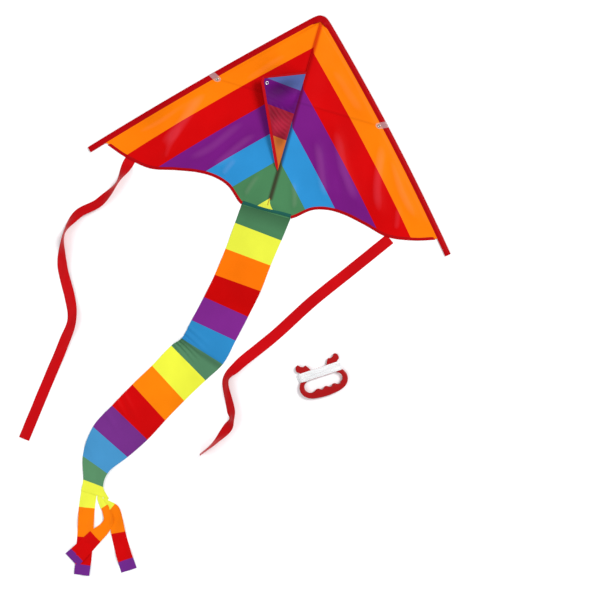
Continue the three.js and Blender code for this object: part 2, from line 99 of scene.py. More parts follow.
GRIP_DEPTH, PLATE_DEPTH = 12, 5
WINDING_HALF, WINDING_FROM, WINDING_TO = 61, -1.3, 22.8
LINE_WIDTH = 0.8
LINE_END = [
    (204, -948, 4.6), (197, -955, 1.8), (187, -965, 0.8), (170, -988, 0.7), (157, -1012, 0.7),
    (146, -1038, 0.7), (133, -1064, 0.7),
]
# Left and right border of the tail at each change of colour.
TAIL = [
    (-68, -543, 68, -543), (-71, -592, 61, -603), (-76, -664, 52, -674), (-84, -738, 46, -746),
    (-95, -802, 33, -820), (-110, -874, 18, -894), (-122, -928, 3, -963), (-142, -953, -28, -1016),
    (-176, -1017, -67, -1083), (-214, -1083, -103, -1151), (-250, -1151, -134, -1213),
    (-283, -1218, -171, -1271), (-289, -1300, -211, -1328), (-270, -1364, -213, -1368),
    (-267, -1394, -190, -1394),
]
TAIL_BANDS = len(TAIL) - 1
# Centre-line, height and width.
STREAMERS = {
    "left": [
        (-245, -1398, 0.7, 42), (-239, -1438, 0.7, 43), (-230, -1476, 0.7, 43), (-221, -1516, 0.7, 43),
        (-211, -1562, 0.7, 42), (-203, -1610, 0.7, 41),
    ],
    "middle": [
        (-214, -1398, 0.7, 14), (-211, -1403, 1.2, 15), (-202, -1413, 1.9, 18), (-186, -1428, 1.9, 24),
        (-175, -1449, 1.9, 25), (-179, -1472, 1.9, 31), (-197, -1502, 1.9, 40), (-218, -1541, 1.9, 44),
        (-240, -1579, 1.9, 48),
    ],
    "right": [
        (-198, -1398, 0.7, 12), (-195, -1404, 0.7, 13), (-184, -1409, 0.7, 18), (-168, -1417, 0.7, 26),
        (-154, -1446, 0.7, 36), (-137, -1481, 0.7, 39), (-112, -1523, 0.7, 41), (-85, -1563, 0.7, 43),
    ],
}
# Lengths along each streamer at which its colour changes.
STREAMER_CHANGES = {"left": (41, 120, 195), "middle": (32, 128, 198), "right": (34, 106, 182)}
# Centre-line and roll in degrees.
RIBBONS = {
    "left": [
        (-389, -519, 0), (-402, -577, 70), (-433, -640, 30), (-480, -688, 30), (-500, -747, 72),
        (-481, -832, 20), (-440, -905, 10), (-417, -960, 30), (-420, -1020, 10), (-436, -1160, 0),
        (-452, -1304, 0),
    ],
    "right": [
        (329, -532, 0), (262, -628, 0), (185, -738, 0), (115, -852, 0), (42, -958, 22),
        (22, -1000, 55), (58, -1076, 42), (66, -1098, 62), (62, -1124, 34), (44, -1163, 66),
        (26, -1193, 82), (12, -1213, 84),
    ],
}
RIBBON_WIDTH = {"left": 29, "right": 30}

# --- places
spine_low, spine_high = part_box("spine_rod")
spine_middle = (np.array(spine_low) + np.array(spine_high)) / 2
ORIGIN = spine_middle - MM * np.array([0, (SPINE_FROM + SPINE_TO) / 2, SPINE_HEIGHT])


def put(points):
    """Layout points, in millimetres, as row-frame points in metres."""
    return ORIGIN + MM * np.asarray(points, float)


def smooth(t):
    t = np.clip(t, 0, 1)
    return t * t * (3 - 2 * t)


def bell(t):
    return np.exp(-(t**2))


def mix(a, b, t):
    return a + (b - a) * t


def unit(v):
    return v / np.maximum(np.linalg.norm(v, axis=-1, keepdims=True), 1e-12)


def spline(points, t):
    """Centripetal Catmull-Rom curve through the points, at each share t of its spans."""
    p = np.asarray(points, float)
    p = np.vstack([2 * p[0] - p[1], p, 2 * p[-1] - p[-2]])
    t = np.atleast_1d(np.asarray(t, float)) * (len(p) - 3)
    i = np.clip(np.floor(t).astype(int), 0, len(p) - 4)
    w = (t - i)[:, None]
    p0, p1, p2, p3 = p[i], p[i + 1], p[i + 2], p[i + 3]
    gap = [np.sqrt(np.linalg.norm(b - a, axis=1, keepdims=True)) for a, b in ((p0, p1), (p1, p2), (p2, p3))]
    m1 = gap[1] * ((p1 - p0) / gap[0] - (p2 - p0) / (gap[0] + gap[1]) + (p2 - p1) / gap[1])
    m2 = gap[1] * ((p2 - p1) / gap[1] - (p3 - p1) / (gap[1] + gap[2]) + (p3 - p2) / gap[2])
    return p1 + m1 * w + (3 * (p2 - p1) - 2 * m1 - m2) * w**2 + (2 * (p1 - p2) + m1 + m2) * w**3


def left_of(way):
    """Plan directions square to way, on its left."""
    return np.column_stack([-way[:, 1], way[:, 0]])


def run_along(points):
    """The length of a line up to each of its points."""
    return np.concatenate([[0], np.cumsum(np.linalg.norm(np.diff(points, axis=0), axis=1))])


def evenly(points, count):
    """The same line with its points evenly spaced."""
    run = run_along(points)
    where = np.linspace(0, run[-1], count)
    return np.stack([np.interp(where, run, points[:, k]) for k in range(points.shape[1])], axis=1)


def lifted(points, height):
    points = np.asarray(points, float)
    return np.column_stack([points[:, :2], np.full(len(points), height)])


def leading_edge(side, t, out=0.0):
    """Points on the leading edge's centre-line, or beside it by out."""
    start, end = np.array([[0, EDGE_APEX]]), np.array([WING_TIP[side]])
    middle = (start + end) / 2 + 2 * EDGE_BOW[side] * SIDES[side] * left_of(unit(end - start))
    t = np.atleast_1d(t)[:, None]
    point = (1 - t) ** 2 * start + 2 * t * (1 - t) * middle + t**2 * end
    along = unit((1 - t) * (middle - start) + t * (end - middle))
    return point + out * SIDES[side] * left_of(along)


def trailing_edge(side, t):
    return spline([(SIDES[side] * x, y) for x, y in [TAIL_CORNER, *TRAILING, SAIL_CORNER]], t)


def into_sail(side, edge):
    """Directions from the points of a trailing edge into the sail."""
    return SIDES[side] * left_of(unit(np.gradient(edge, axis=0)))


def edge_inset(side, inwards):
    """x of a place on the spreader, so far in from the leading edge's centre-line."""
    line = leading_edge(side, np.linspace(0, 1, 4001))
    x = np.interp(SPREADER_Y, line[::-1, 1], line[::-1, 0])
    return x - SIDES[side] * inwards


def sail_stripe(x, y):
    """Distance in from the leading edge, which the stripes follow; the right half sits lower."""
    share = np.clip((0.69 * np.abs(x) + 0.72 * (7 - y)) / 724, 0, 1)
    return -0.720 * np.abs(x) - 0.694 * y + 40 * share * (1 - share) - 7 * smooth(x / 6)


def cloth_height(x, y, to_trailing):
    """Height of the sail: up over the spine, low at its borders and the nose."""
    wing = mix(SAIL_LOW, SAIL_MID, smooth(to_trailing / DROOP))
    across = 1 - smooth((np.abs(x) - RIDGE_TOP) / (RIDGE_FOOT - RIDGE_TOP))
    past = 1 - smooth((SPINE_TO - 8 - y) / (SPINE_TO - 8 - TAIL_CORNER[1]))
    height = mix(wing, SAIL_RIDGE, across * past)
    return mix(EDGE_HEIGHT + 0.3, height, smooth((-y - 2) / 24))


# --- meshes
def link(name, data):
    """A new object in the scene."""
    made = bpy.data.objects.new(name, data)
    bpy.context.scene.collection.objects.link(made)
    return made


def add_mesh(name, points, faces, material, values=None, sharp=50):
    mesh = bpy.data.meshes.new(name)
    mesh.from_pydata(np.asarray(points, float).tolist(), [], faces)
    for key, value in (values or {}).items():
        stored = mesh.attributes.new(key, "FLOAT", "POINT")
        stored.data.foreach_set("value", np.asarray(value, np.float32).ravel())
    mesh.polygons.foreach_set("use_smooth", [True] * len(mesh.polygons))
    mesh.set_sharp_from_angle(angle=math.radians(sharp))
    mesh.materials.append(material)
    mesh.validate()
    return link(name, mesh)


def grid_faces(rows, columns, first=0, around=False, turned=False):
    faces = []
    for i in range(rows - 1):
        for j in range(columns if around else columns - 1):
            k = (j + 1) % columns
            face = [i * columns + j, i * columns + k, (i + 1) * columns + k, (i + 1) * columns + j]
            faces.append([first + n for n in (face[::-1] if turned else face)])
    return faces


def shell(name, surface, material, values, thickness=CLOTH_THICKNESS):
    """A thin closed sheet about rows and columns of row-frame points."""
    rows, columns = surface.shape[:2]
    values = {key: np.broadcast_to(value, (rows, columns)) for key, value in values.items()}
    normal = unit(np.cross(np.gradient(surface, axis=1), np.gradient(surface, axis=0)))
    if normal[..., 2].mean() < 0:
        surface, normal = surface[:, ::-1], -normal[:, ::-1]
        values = {key: value[:, ::-1] for key, value in values.items()}
    half = normal * thickness * MM / 2
    points = np.stack([surface + half, surface - half]).reshape(-1, 3)
    count = rows * columns
    faces = grid_faces(rows, columns, turned=True) + grid_faces(rows, columns, first=count)
    last = count - columns
    rim = [*range(0, last, columns), *range(last, count)]
    rim += [*range(last - 1, columns - 2, -columns), *range(columns - 2, 0, -1)]
    for a, b in zip(rim, rim[1:] + rim[:1]):
        faces.append([b, a, a + count, b + count])
    both = {key: np.tile(value.ravel(), 2) for key, value in values.items()}
    return add_mesh(name, points, faces, material, both)


def sweep(name, line, section, material, side=None, scale=None, values=None):
    """A closed section, points (aside, above) in millimetres, swept along row-frame points."""
    line, section = np.asarray(line, float), np.asarray(section, float)
    way = unit(np.gradient(line, axis=0))
    aside = unit(np.cross(UP, way)) if side is None else np.broadcast_to(side, way.shape)
    above = unit(np.cross(way, aside))
    scale = np.ones((len(line), 2)) if scale is None else scale
    across = section[None, :, 0] * scale[:, :1]
    high = section[None, :, 1] * scale[:, 1:]
    points = line[:, None] + MM * (across[..., None] * aside[:, None] + high[..., None] * above[:, None])
    rows, columns = points.shape[:2]
    area = np.sum(section[:, 0] * np.roll(section[:, 1], -1) - np.roll(section[:, 0], -1) * section[:, 1])
    faces = grid_faces(rows, columns, around=True, turned=area < 0)
    ends = [list(range(columns))[::-1], list(range((rows - 1) * columns, rows * columns))]
    faces += [end[::-1] if area < 0 else end for end in ends]
    made = {"along": np.repeat(run_along(line) / MM, columns), "across": np.tile(section[:, 0], rows)}
    made.update({key: np.repeat(value, columns) for key, value in (values or {}).items()})
    return add_mesh(name, points.reshape(-1, 3), faces, material, made)


def round_section(radius, sides=20):
    turn = np.linspace(0, 2 * pi, sides, endpoint=False)
    return np.column_stack([np.cos(turn), np.sin(turn)]) * radius


def tape_section(width, thickness, bulge):
    """A folded tape: flat, with round edges, thicker where it goes over a rod."""
    across = np.linspace(-0.5, 0.5, 13) * width
    edge = np.sqrt(np.clip(1 - (np.abs(across) / (width / 2)) ** 8, 0.02, 1))
    high = (thickness / 2) * edge + bulge * bell(across / (width * 0.2))
    return np.vstack([np.column_stack([across, -high]), np.column_stack([across, high])[::-1]])


def lathe(name, profile, centre, material, tilt=0.0, sides=48):
    """Points (radius, height) turned about an upright axis, which tilt leans over +Y."""
    turn = np.linspace(0, 2 * pi, sides, endpoint=False)
    points = np.array([(r * math.cos(a), r * math.sin(a), z) for r, z in profile for a in turn])
    lean = np.array([[math.cos(tilt), 0, math.sin(tilt)], [0, 1, 0], [-math.sin(tilt), 0, math.cos(tilt)]])
    faces = grid_faces(len(profile), sides, around=True)
    last = (len(profile) - 1) * sides
    faces += [[last + j, last + (j + 1) % sides, (j + 1) % sides, j] for j in range(sides)]
    return add_mesh(name, put(points @ lean.T + np.asarray(centre)), faces, material, sharp=60)


SPINDLE = ((-0.5, 0.45), (-0.3, 1), (0.3, 1), (0.5, 0.45))  # shares of a stitch's length and girth


def add_stitches(name, line, material, body, slot="red_binding", spacing=3.4, long=2.3, radius=0.28):
    """A row of thread stitches, each a small spindle, along row-frame points."""
    count = max(2, int(run_along(line)[-1] / (spacing * MM)))
    middle = evenly(line, count)
    way = unit(np.gradient(middle, axis=0))
    aside = unit(np.cross(UP, way))
    above = np.cross(way, aside)
    turn = np.linspace(0, 2 * pi, 5, endpoint=False)
    points, faces = [], []
    for k in range(count):
        first = len(points)
        for step, girth in SPINDLE:
            for a in turn:
                around = math.cos(a) * aside[k] + math.sin(a) * above[k]
                points.append(middle[k] + MM * (radius * girth * around + step * long * way[k]))
        faces += grid_faces(len(SPINDLE), len(turn), first=first, around=True)
        faces += [[first + j for j in (4, 3, 2, 1, 0)], [first + 15 + j for j in range(5)]]
    finish_piece(add_mesh(name, points, faces, material, sharp=80), body, slot)


# --- materials
def linear(code):
    """A six-figure hex colour as linear red, green, blue and alpha."""
    parts = [int(code[i : i + 2], 16) / 255 for i in (0, 2, 4)]
    return tuple(c / 12.92 if c <= 0.04045 else ((c + 0.055) / 1.055) ** 2.4 for c in parts) + (1,)


class Nodes:
    """A new material's node tree, with short ways to add nodes to it."""

    def __init__(self, name, **sockets):
        self.material = bpy.data.materials.new(name)
        self.material.use_nodes = True
        self.tree = self.material.node_tree
        self.shader = self.tree.nodes["Principled BSDF"]
        for key, value in sockets.items():
            self.shader.inputs[key.replace("_", " ")].default_value = value

    def add(self, kind, inputs=None, **settings):
        made = self.tree.nodes.new("ShaderNode" + kind)
        for key, value in settings.items():
            setattr(made, key, value)
        for key, value in (inputs or {}).items():
            self.join(value, made.inputs[key])
        return made.outputs[0]

    def join(self, value, socket):
        if isinstance(value, bpy.types.NodeSocket):
            self.tree.links.new(value, socket)
        else:
            socket.default_value = value

    def shade(self, socket, value):
        self.join(value, self.shader.inputs[socket])

    def value(self, attribute):
        made = self.tree.nodes.new("ShaderNodeAttribute")
        made.attribute_name = attribute
        return made.outputs["Fac"]

    def math(self, operation, *values):
        return self.add("Math", dict(enumerate(values)), operation=operation)

    def place(self):
        return self.tree.nodes.new("ShaderNodeTexCoord").outputs["Object"]

    def stretched(self, scale):
        return self.add("Mapping", {"Vector": self.place(), "Scale": scale})

    def noise(self, scale, detail=3, vector=None, roughness=0.5, distortion=0):
        vector = self.place() if vector is None else vector
        inputs = {"Vector": vector, "Scale": scale, "Detail": detail, "Roughness": roughness}
        return self.add("TexNoise", {**inputs, "Distortion": distortion})

    def spread(self, value, low, high, from_low=0, from_high=1):
        ends = {"From Min": from_low, "From Max": from_high, "To Min": low, "To Max": high}
        return self.add("MapRange", {"Value": value, **ends})

    def dye(self, code):
        made = self.add("RGB")
        made.default_value = linear(code)
        return made

    def tinted(self, colour, factor):
        """The colour, times a grey factor."""
        return self.add("VectorMath", {0: colour, 1: factor}, operation="MULTIPLY")

    def bands(self, value, edges, colours):
        """Constant colours that change where value passes each edge."""
        top = max(edges) * 1.25
        made = self.tree.nodes.new("ShaderNodeValToRGB")
        made.color_ramp.interpolation = "CONSTANT"
        stops = made.color_ramp.elements
        while len(stops) < len(colours):
            stops.new(0.5)
        for stop, at, code in zip(stops, [0, *edges], colours):
            stop.position = at / top
            stop.color = linear(code)
        self.join(self.math("DIVIDE", value, top), made.inputs["Fac"])
        return made.outputs["Color"]

    def bump(self, height, distance, normal=None):
        inputs = {"Height": height, "Distance": distance}
        if normal is not None:
            inputs["Normal"] = normal
        return self.add("Bump", inputs)


THREAD_PITCH = 0.75  # millimetres for two threads


def weave(nodes):
    """Height of a plain weave along the cloth's own two directions."""
    turns = 2 * pi / THREAD_PITCH
    angles = [nodes.math("MULTIPLY", nodes.value(key), turns) for key in ("along", "across")]
    return nodes.math("MULTIPLY", *(nodes.math("SINE", angle) for angle in angles))


CLOTH_TONE = 0.88  # evens out the lamps' strength, so that the dyes below read as they are


def cloth(name, colour, roughness=0.5, crumple=0.25, sheen=0.01, scale=(9, 9, 9), variation=0.1):
    """Woven polyester. colour(nodes) gives its colour socket, or is one hex code."""
    gloss = {"Sheen_Weight": sheen, "Sheen_Roughness": 0.4, "Specular_IOR_Level": 0.04}
    nodes = Nodes(name, Roughness=roughness, **gloss)
    base = colour(nodes) if callable(colour) else nodes.dye(colour)
    low, high = CLOTH_TONE * (1 - variation), CLOTH_TONE * (1 + variation)
    clouds = nodes.spread(nodes.noise(5, 3), low, high, 0.3, 0.7)
    thread = nodes.spread(weave(nodes), 0.97, 1.03, -1, 1)
    nodes.shade("Base Color", nodes.tinted(base, nodes.math("MULTIPLY", clouds, thread)))
    nodes.shade("Roughness", nodes.spread(nodes.noise(40), roughness - 0.06, roughness + 0.08))
    folds = nodes.noise(1, 4, nodes.stretched(scale), 0.45, 0.6)
    normal = nodes.bump(folds, 0.004 * crumple)
    nodes.shade("Normal", nodes.bump(weave(nodes), 0.00001, normal=normal))
    return nodes.material


ORANGE, RED, PURPLE, BLUE, GREEN, YELLOW = "fc7c03", "cf0204", "77197f", "2e90d0", "4a8256", "e8ec4c"
SAIL_STRIPES = [62.5, 135, 210, 282.5, 360]
TAIL_COLOURS = [
    "4a7e56", "e9ee43", "fc7602", "c50101", "7c2688", "2c86c0", "538561", "f1f541", "ff8504", "d00305",
    "752f87", "4794c8", "5a8e65", "eff346",
]
TAIL_CREASE = 6.17  # station along the tail of the crease where it turns
SPINE_STRIP_AT = 2  # x of the middle of the strip tinted darker and redder: partly the spine's sleeve seen through the cloth, partly painted shade beside the keel's root


def sail_colour(nodes):
    """Stripes, with painted shade along the spreader, a darker, redder strip over the spine (the sleeve
    seen through the cloth, plus painted shade beside the keel's root) and a painted highlight on the
    wrinkles' crests.
    """
    base = nodes.bands(nodes.value("stripe"), SAIL_STRIPES, [ORANGE, RED, PURPLE, BLUE, GREEN, YELLOW])
    # painted shade: darker in a strip along the spreader rod under the cloth
    off = nodes.math("ABSOLUTE", nodes.math("SUBTRACT", nodes.value("along"), -SPREADER_Y))
    shade = nodes.spread(off, 0.88, 1, 1, 5)
    # partly real, partly painted: the spine's sleeve seen through the cloth, plus painted shade beside the
    # keel's root, darken and redden this strip
    beside = nodes.math("ABSOLUTE", nodes.math("SUBTRACT", nodes.value("across"), SPINE_STRIP_AT))
    sleeve_end = nodes.spread(nodes.value("along"), 1, 0, 506, 511)
    spine_sleeve_and_shade = nodes.math("MULTIPLY", nodes.spread(beside, 1, 0, 2, 9), sleeve_end)
    tint = {0: spine_sleeve_and_shade, 1: (-0.3, -0.76, -0.7), 2: (1, 1, 1)}
    through = nodes.add("VectorMath", tint, operation="MULTIPLY_ADD")
    # painted highlight: lighter on the crests of the sail's wrinkles
    crest_highlight = {0: nodes.spread(nodes.value("fold"), 0, 1, 1.6, 4.6), 1: (0.05, 0.022, 0.032)}
    lit = nodes.add("VectorMath", {**crest_highlight, 2: nodes.tinted(base, shade)}, operation="MULTIPLY_ADD")
    return nodes.tinted(lit, through)


def tail_colour(nodes):
    """Bands across the tail, with painted shade below its seam and in the crease where it turns."""
    base = nodes.bands(nodes.value("band"), list(range(1, TAIL_BANDS)), TAIL_COLOURS)
    # painted shade: darker just below the seam
    seam_shade = nodes.spread(nodes.value("along"), 0.62, 1, 5, 48)
    # painted shade: darker in the crease where the tail turns
    off = nodes.math("ABSOLUTE", nodes.math("SUBTRACT", nodes.value("band"), TAIL_CREASE))
    crease_shade = nodes.spread(off, 0.72, 1, 0.03, 0.24)
    return nodes.tinted(base, nodes.math("MULTIPLY", seam_shade, crease_shade))


def streamer_colour(nodes):
    return nodes.bands(nodes.value("band"), [1, 2, 3], ["eff346", "fb7d05", "d00305", "70298a"])


def keel_colour(nodes):
    """Bands, with a painted highlight on the ripples' crests and painted shade between them."""
    base = nodes.bands(nodes.value("band"), [205.5, 269, 344], ["50609a", "5f0a6a", "9a1c33", "cc6c2a"])
    # painted light and shade, following the ripples' height
    return nodes.tinted(base, nodes.spread(nodes.value("fold"), 0.66, 1.34, -2.4, 2.4))


STRIPED_SAIL = cloth("striped_sail", sail_colour, 0.46, 0.5, scale=(7, 4, 7))
STRIPED_TAIL = cloth("striped_tail", tail_colour, 0.5, 0.8, scale=(14, 9, 9))
STRIPED_STREAMER = cloth("striped_streamer", streamer_colour, 0.5, 0.7, scale=(20, 14, 9))
KEEL_CLOTH = cloth("keel_cloth", keel_colour, 0.46, 0.9, 0.08, (12, 26, 12), 0.16)
BINDING = cloth("binding_tape", "b0020a")
BRIGHT_BINDING = cloth("keel_tape", "bc0616")
NOSE_TAPE = cloth("nose_tape", "ae020a")
TEAL_TAPE = cloth("seam_tape", "1f5a50", 0.55, 0.3)
RIBBON = cloth("ribbon_satin", "c60810", 0.4, 0.5, 0.1, (20, 8, 10), 0.12)
SPINE_CLOTH = cloth("spine_cloth", "7a1014", 0.6, 0.3)


def mottled(name, code, grain, tones, rough=None, relief=None, **sockets):
    """A hard material, mottled by its grain. Relief is a scale, or 0 to follow the grain, and a height."""
    nodes = Nodes(name, **sockets)
    pattern = grain(nodes) if callable(grain) else nodes.noise(*grain)
    nodes.shade("Base Color", nodes.tinted(nodes.dye(code), nodes.spread(pattern, *tones)))
    if rough:
        nodes.shade("Roughness", nodes.spread(nodes.noise(*rough[:2]), *rough[2:]))
    if relief:
        scale, height = relief
        nodes.shade("Normal", nodes.bump(nodes.noise(scale, 2) if scale else pattern, height))
    return nodes.material


def streaks(nodes):
    """Fine streaks that run along Y."""
    return nodes.noise(1, 4, nodes.stretched((900, 12, 900)))


def twist(nodes):
    """Fine slanting strands of twine."""
    inputs = {"Vector": nodes.place(), "Scale": 700, "Distortion": 1}
    return nodes.add("TexWave", inputs, bands_direction="DIAGONAL")


RED_THREAD, TEAL_THREAD, BROWN_THREAD = (
    mottled(name, code, (900,), (0.75, 1.2), Roughness=0.6, Specular_IOR_Level=0.3)
    for name, code in (("red_thread", "8c0a10"), ("teal_thread", "123f38"), ("brown_thread", "b4682a"))
)
ROD = mottled(
    "glass_fibre_rod", "e6e4dc", streaks, (0.86, 1.05), relief=(0, 0.0001),
    Roughness=0.35, Specular_IOR_Level=0.5,
)
VINYL = mottled(
    "clear_vinyl", "d9dcdf", (160,), (0.85, 1.08), (160, 3, 0.1, 0.3), (60, 0.0006),
    Alpha=0.16, Specular_IOR_Level=0.8,
)
NICKEL = mottled(
    "nickel", "b4b3ae", (700, 4), (0.6, 1.15), (300, 4, 0.18, 0.48), Metallic=1,
)
PLASTIC = mottled(
    "moulded_plastic", "a00306", (60,), (0.9, 1.1), (220, 5, 0.26, 0.44), (1400, 0.00004),
    Specular_IOR_Level=0.25,
)
TWINE = mottled(
    "kite_twine", "ffffff", twist, (0.94, 1), relief=(0, 0.0001),
    Roughness=0.62, Sheen_Weight=0.2, Specular_IOR_Level=0.25,
)

# --- camera
CAMERA_OVER = (166.1, -750.0)
CAMERA_HIGH = 5000
VIEW_WIDTH = 1624
SENSOR = 36
camera = link("camera", bpy.data.cameras.new("camera"))
camera.location = put((*CAMERA_OVER, CAMERA_HIGH))
camera.rotation_euler = (0, 0, math.radians(16.14))
camera.data.sensor_width = SENSOR
camera.data.lens = SENSOR * CAMERA_HIGH / VIEW_WIDTH
camera.data.clip_end = 100
bpy.context.scene.camera = camera


# --- the line: one length, wound lengthwise on the reel, with its free end on the floor
def reel_points(points):
    """Points in the reel's own directions, as layout points."""
    x, y, z = np.asarray(points, float).T
    c, s = math.cos(REEL_TURN), math.sin(REEL_TURN)
    return np.column_stack([c * x - s * y, s * x + c * y, z]) + np.array(REEL_PLACE)


LAYERS, TURNS_PER_LAYER = 3, 25
END_STEPS, RUN_STEPS = 8, 4
SHOULDER = 50.5  # where the turns leave the plate's flat faces


def one_turn(layer):
    """x and z round one turn, from the middle of its upper run."""
    high = PLATE_DEPTH / 2 + LINE_WIDTH * (0.95 + layer)
    tip = WINDING_HALF - 7.2 + 2.3 * layer
    turn = np.linspace(pi / 2, -pi / 2, END_STEPS)
    end = np.column_stack([SHOULDER + (tip - SHOULDER) * np.cos(turn), high * np.sin(turn)])
    run = np.linspace(0, SHOULDER, RUN_STEPS, endpoint=False)[1:]
    right = np.vstack([np.column_stack([run, np.full(len(run), high)]), end])
    return np.vstack([[0, high], right, [0, -high], -right])


def line_route():
    """The wound turns, layer on layer, and then the free end."""
    points = []
    width = WINDING_TO - WINDING_FROM - LINE_WIDTH
    for layer in range(LAYERS):
        pattern = one_turn(layer)
        for turn in range(TURNS_PER_LAYER):
            share = (turn + np.arange(len(pattern)) / len(pattern)) / TURNS_PER_LAYER
            share = share if layer % 2 == 0 else 1 - share
            y = WINDING_FROM + LINE_WIDTH / 2 + width * share
            sway = RNG.normal(0, 0.16) + RNG.normal(0, 0.2) * pattern[:, 0] / WINDING_HALF
            lift = np.abs(RNG.normal(0, 0.07)) * np.sign(pattern[:, 1])
            points.append(np.column_stack([pattern[:, 0], y + sway, pattern[:, 1] + lift]))
    wound = reel_points(np.vstack(points)[: -END_STEPS // 2 - 2])
    free = spline(LINE_END, np.linspace(0, 1, 40))
    return put(np.vstack([wound, free]))


def add_line():
    route = line_route()
    curve = bpy.data.curves.new("kite_line", "CURVE")
    curve.dimensions = "3D"
    curve.bevel_depth = LINE_WIDTH * MM / 2
    curve.bevel_resolution = 1
    curve.use_fill_caps = True
    drawn = curve.splines.new("POLY")
    drawn.points.add(len(route) - 1)
    for point, place in zip(drawn.points, route):
        point.co = (*place, 1)
    curve.materials.append(TWINE)
    piece = link("kite_line", curve)
    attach(piece, "reel")
    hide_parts("line_winding", "line_end")


add_line()


# --- the frame's rods, seen inside their sleeves
def finish_piece(piece, body, slot, *nodes):
    """Body is one to ride on; any other body, such as (a, b, start, end), leaves the piece fixed where it
    stands. Nodes are those it stands for.
    """
    if isinstance(body, str):
        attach(piece, body)
    else:
        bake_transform(piece)
    if nodes:
        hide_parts(*nodes)
    return piece


for kept in ("spine_rod", "left_edge_rod", "right_edge_rod"):
    looks = frame["nodes"][kept].data.materials
    looks.clear()
    looks.append(ROD)

FLEX_BEND = 16  # half the width of the strip across the wing's root that wing_bend gives


def wing_bend(side):
    """The frame, the wing and two points either side of the wing's root; finish_piece fixes a piece given
    these where it stands, so it does not bend.
    """
    sign = SIDES[side]
    across = np.array([-sign * TAIL_CORNER[1], TAIL_CORNER[0], 0]) / math.hypot(*TAIL_CORNER)
    return "frame", side + "_wing", put(-FLEX_BEND * across), put(FLEX_BEND * across)


def add_spine():
    line = put([(0, y, SPINE_HEIGHT) for y in np.linspace(SPINE_FROM + 1, SPINE_TO - 2, 60)])
    sleeve = sweep("spine_sleeve_cloth", line, round_section(SPINE_SLEEVE_RADIUS), SPINE_CLOTH)
    finish_piece(sleeve, "frame", "red_binding", "spine_sleeve")


def add_spreader(side):
    reach = np.linspace(0, edge_inset(side, SPREADER_STOP), 90)
    line = put([(x, SPREADER_Y, SPREADER_HEIGHT) for x in reach])
    rod = sweep("spreader_" + side, line, round_section(ROD_RADIUS), ROD)
    finish_piece(rod, wing_bend(side), "rod", "spreader_rod")


# --- sail
# Soft wrinkles: from x, y to x, y, height and width; x is measured outwards.
WRINKLE_STRENGTH = 1.3
WRINKLES = {
    "left": [
        (60, -330, 190, -480, 3, 13), (90, -300, 260, -490, 2.6, 15), (225, -250, 330, -470, 3.2, 16),
        (235, -262, 420, -470, 2.4, 12), (30, -100, 180, -240, 1.8, 14), (110, -420, 140, -495, 3, 9),
        (40, -440, 66, -530, 2.8, 9), (150, -170, 230, -250, -0.9, 14), (280, -380, 300, -500, 2, 10),
    ],
    "right": [
        (55, -300, 160, -480, 3.2, 13), (90, -250, 240, -480, 3, 16), (228, -250, 300, -490, 3, 14),
        (240, -262, 410, -480, 2.6, 13), (30, -110, 200, -230, 2, 15), (150, -380, 190, -485, -1.3, 11),
        (40, -430, 72, -528, 3, 9), (120, -150, 235, -245, 1.8, 13), (330, -420, 345, -505, 2.4, 10),
    ],
}


def wrinkle_height(side, x, y):
    total = np.zeros_like(x)
    for x0, y0, x1, y1, height, width in WRINKLES[side]:
        long = math.hypot(x1 - x0, y1 - y0)
        way_x, way_y = (x1 - x0) / long, (y1 - y0) / long
        past_x, past_y = np.abs(x) - x0, y - y0
        along = past_x * way_x + past_y * way_y
        off = past_x * way_y - past_y * way_x + 5 * np.sin(along / 34)
        fade = smooth(along / (0.35 * long)) * smooth((long - along) / (0.3 * long))
        total += WRINKLE_STRENGTH * height * fade * bell(off / width)
    return total


def sail_border(side, count):
    """The sail's lower border, from the spine to the leading edge."""
    seam_x = np.linspace(0, SIDES[side] * TAIL_CORNER[0], 12)[:-1]
    seam = np.column_stack([seam_x, np.full(11, TAIL_CORNER[1] - 1.0)])
    edge = trailing_edge(side, np.linspace(0, 1, 120))
    return evenly(np.vstack([seam, edge + into_sail(side, edge) * 3, leading_edge(side, [0.975])]), count)


def sail_surface(side, reach, border, bend):
    """Layout points of the sail for shares of the way from the nose to border points."""
    bow = 4 * EDGE_BOW[side] * reach * (1 - reach) * bend * math.sqrt(0.5)
    x = border[..., 0] * reach + SIDES[side] * bow
    y = mix(EDGE_APEX, border[..., 1], reach) + bow
    edge = leading_edge(side, np.linspace(0, 1, 400))
    near = np.min(np.hypot(x[..., None] - edge[:, 0], y[..., None] - edge[:, 1]), axis=-1)
    to_trailing = (1 - reach) * -TAIL_CORNER[1]
    fade = smooth((near - 8) / 30) * smooth(to_trailing / 26) * smooth((np.abs(x) - 6) / 22)
    fold = wrinkle_height(side, x, y) * fade
    over_rod = 0.45 * bell((y - SPREADER_Y) / 4.5) * smooth((near - 14) / 12)
    z = cloth_height(x, y, to_trailing) + fold + over_rod * smooth(np.abs(x) / 40)
    z = mix(EDGE_HEIGHT + 0.2, z, smooth((near - 8.5) / 10))
    return x, y, z, fold


def add_sail(side):
    rows, columns = 120, 110
    border = sail_border(side, columns)[None]
    reach = mix(0.02, 1, np.linspace(0, 1, rows) ** 0.92)[:, None]
    bend = smooth(np.linspace(0, 1, columns) ** 1.3)[None]
    x, y, z, fold = sail_surface(side, reach, border, bend)
    stripe = sail_stripe(x, y)
    stripe = np.where(y < SEAM_Y, np.minimum(stripe, SAIL_STRIPES[-1] - 5), stripe)
    values = {"stripe": stripe, "along": -y, "across": x, "fold": fold}
    half = shell("sail_half_" + side, put(np.dstack([x, y, z])), STRIPED_SAIL, values)
    finish_piece(half, wing_bend(side), "striped_cloth", "sail_center", "sail_" + side)


SEAM_RIDGE = [(1.7, 0), (1.5, 0.9), (0.8, 1.5), (0, 1.65), (-0.8, 1.5), (-1.5, 0.9), (-1.7, 0)]


